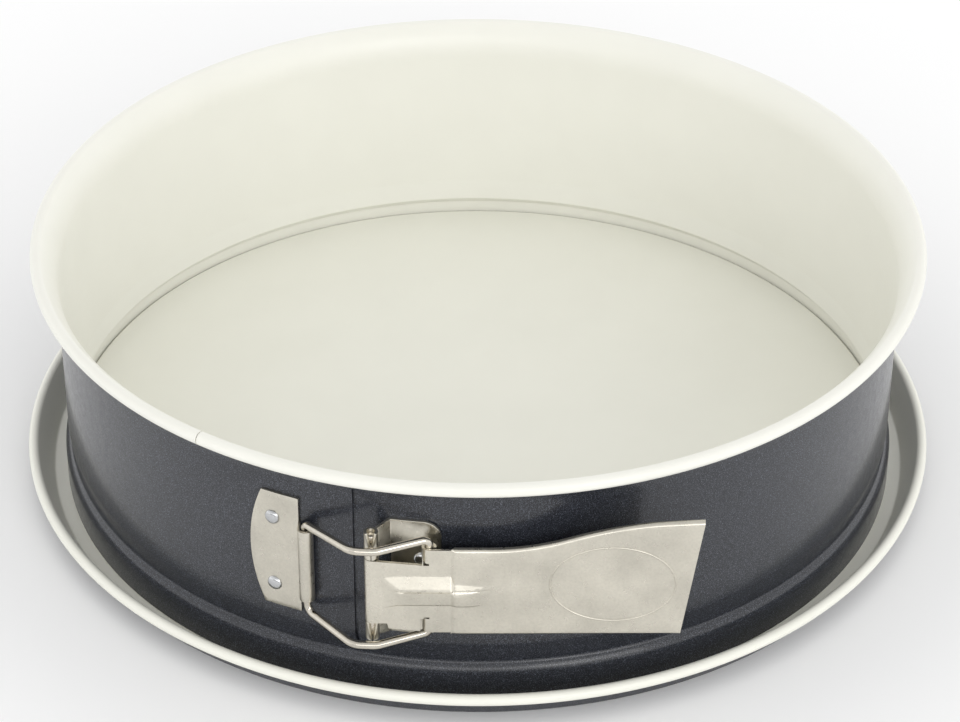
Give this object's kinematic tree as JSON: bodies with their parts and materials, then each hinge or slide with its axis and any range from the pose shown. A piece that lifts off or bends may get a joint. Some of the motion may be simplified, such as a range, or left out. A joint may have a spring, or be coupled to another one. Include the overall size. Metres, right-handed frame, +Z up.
{
  "type": "springform pan",
  "caption": "Round baking pan with a flat plate base with a raised lip and a tall sprung ring that a lever latch closes and opens.",
  "frame": {"origin": "centre of the underside of the base plate, on the surface that the pan stands on", "axes": "+Z up along the pan's axis; the ring's seam and latch face -Y; +X to the right seen from the latch side"},
  "size_m": [0.2872, 0.2872, 0.081],
  "materials": {
    "base_coated_steel": "cream non-stick coat above, dark coat below",
    "ring_coated_steel": "dark metallic speckled coat outside, cream non-stick coat inside and over the rim",
    "nickel_plated_steel": "nickel plated, satin",
    "polished_wire": "nickel plated, bright",
    "rivet_steel": "bright zinc"
  },
  "bodies": {
    "base": {"base_plate": "base_coated_steel"},
    "ring": {"ring_back": "ring_coated_steel"},
    "left_arm": {"ring_left": "ring_coated_steel", "keeper_plate": "nickel_plated_steel", "keeper_rivet_upper": "rivet_steel", "keeper_rivet_lower": "rivet_steel"},
    "right_arm": {"ring_right": "ring_coated_steel", "hinge_bracket": "nickel_plated_steel", "bracket_rivet_upper": "rivet_steel", "bracket_rivet_lower": "rivet_steel", "hinge_pin": "polished_wire"},
    "lever": {"latch_lever": "nickel_plated_steel"},
    "bail": {"bail_wire": "polished_wire"}
  },
  "joints": [
    {"name": "ring_lift", "type": "slide", "parent": "base", "child": "ring", "axis": [0, 0, 1], "range_m": [0, 0.1]},
    {"name": "left_flex", "type": "hinge", "parent": "ring", "child": "left_arm", "pos_m": [-0.01204, 0.13757, 0.04], "axis": [0, 0, -1], "range_deg": [0, 1.71]},
    {"name": "right_flex", "type": "hinge", "parent": "ring", "child": "right_arm", "pos_m": [0.01204, 0.13757, 0.04], "axis": [0, 0, 1], "range_deg": [0, 1.71]},
    {"name": "lever_swing", "type": "hinge", "parent": "right_arm", "child": "lever", "pos_m": [0.00674, -0.13733, 0.0436], "axis": [0, 0, -1], "range_deg": [0, 131.3]},
    {"name": "bail_swing", "type": "hinge", "parent": "left_arm", "child": "bail", "pos_m": [-0.01425, -0.13223, 0.043], "axis": [0, 0, -1], "range_deg": [0, 30.06]}
  ],
  "couplings": [
    {"joint": "left_flex", "follows": "lever_swing", "ratio": 0.013024},
    {"joint": "right_flex", "follows": "lever_swing", "ratio": 0.013024},
    {"joint": "bail_swing", "follows": "lever_swing", "ratio": 0.22894}
  ]
}
